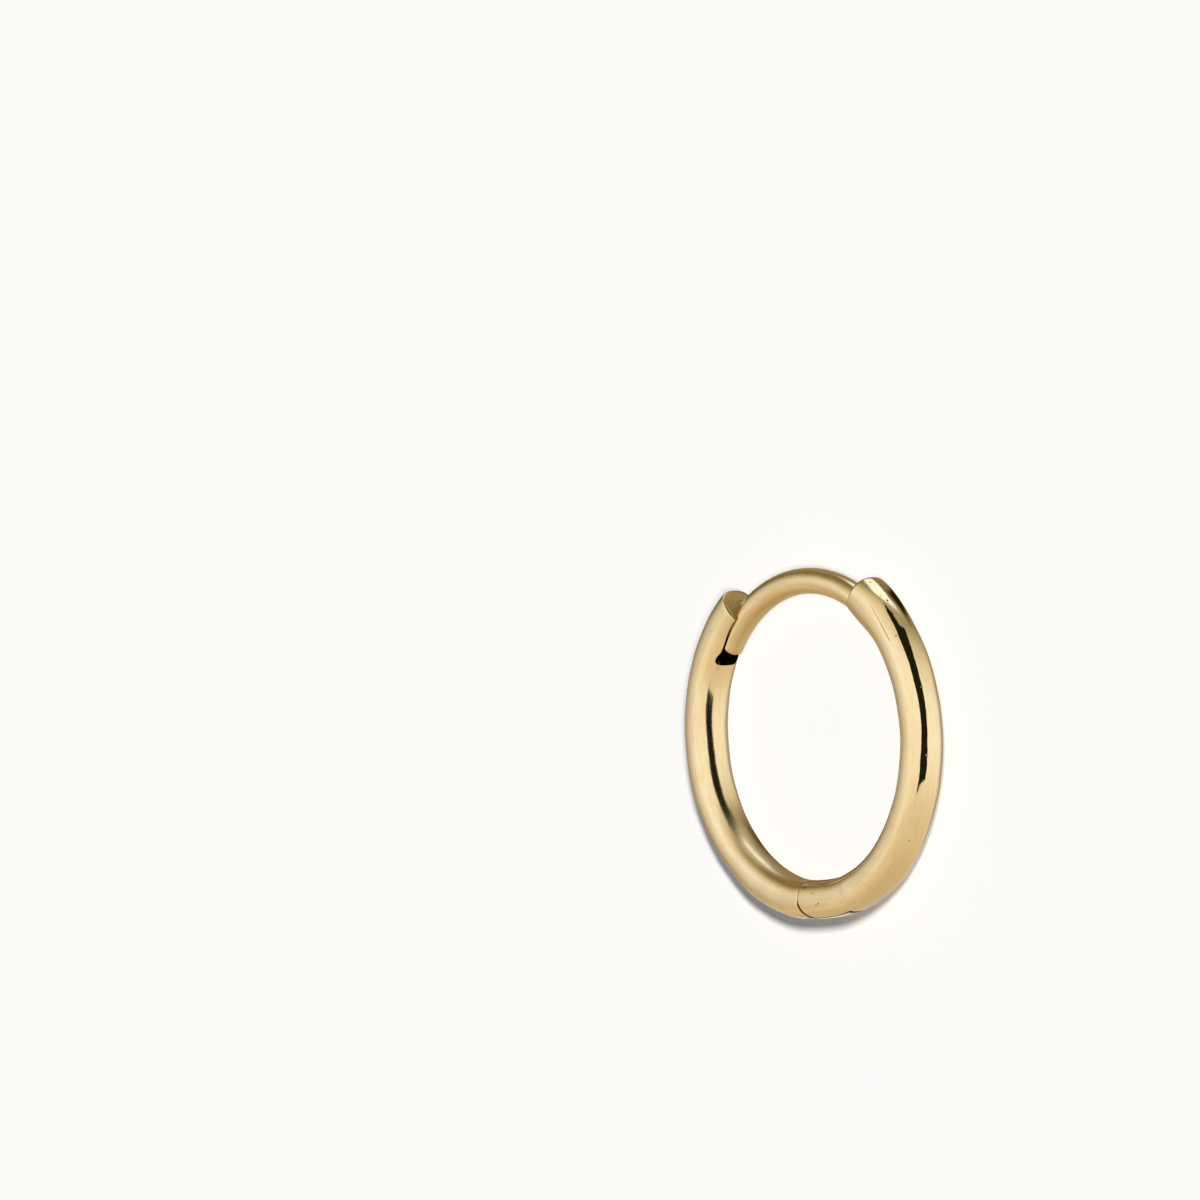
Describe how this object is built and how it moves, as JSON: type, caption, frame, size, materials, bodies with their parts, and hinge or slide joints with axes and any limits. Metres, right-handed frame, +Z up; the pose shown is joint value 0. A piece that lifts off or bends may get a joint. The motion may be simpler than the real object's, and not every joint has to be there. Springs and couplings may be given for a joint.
{
  "type": "hinged hoop earring",
  "caption": "Plain polished gold hoop earring that opens on a bottom hinge, with a curved ear post that closes into a channel.",
  "frame": {"origin": "on the surface that the hoop lies on, under the middle of the whole earring's box", "axes": "+Z up from the surface, along the hoop's own axis; +X towards the thick front half, which faces forward when worn; +Y towards the ear post, which is uppermost when worn"},
  "size_m": [0.012, 0.0114, 0.0014],
  "materials": {
    "front_gold": "high polish yellow gold with fine wear marks",
    "back_gold": "high polish yellow gold with fine wear marks",
    "pin_gold": "polished flush with the ears"
  },
  "bodies": {
    "front": {"front_half": "front_gold", "hinge_pin": "pin_gold"},
    "back": {"back_half": "back_gold"}
  },
  "joints": [
    {"name": "hoop_hinge", "type": "hinge", "parent": "front", "child": "back", "pos_m": [0.00076, -0.00495, 0.00068], "axis": [0, 0, 1], "range_deg": [0, 50]}
  ]
}
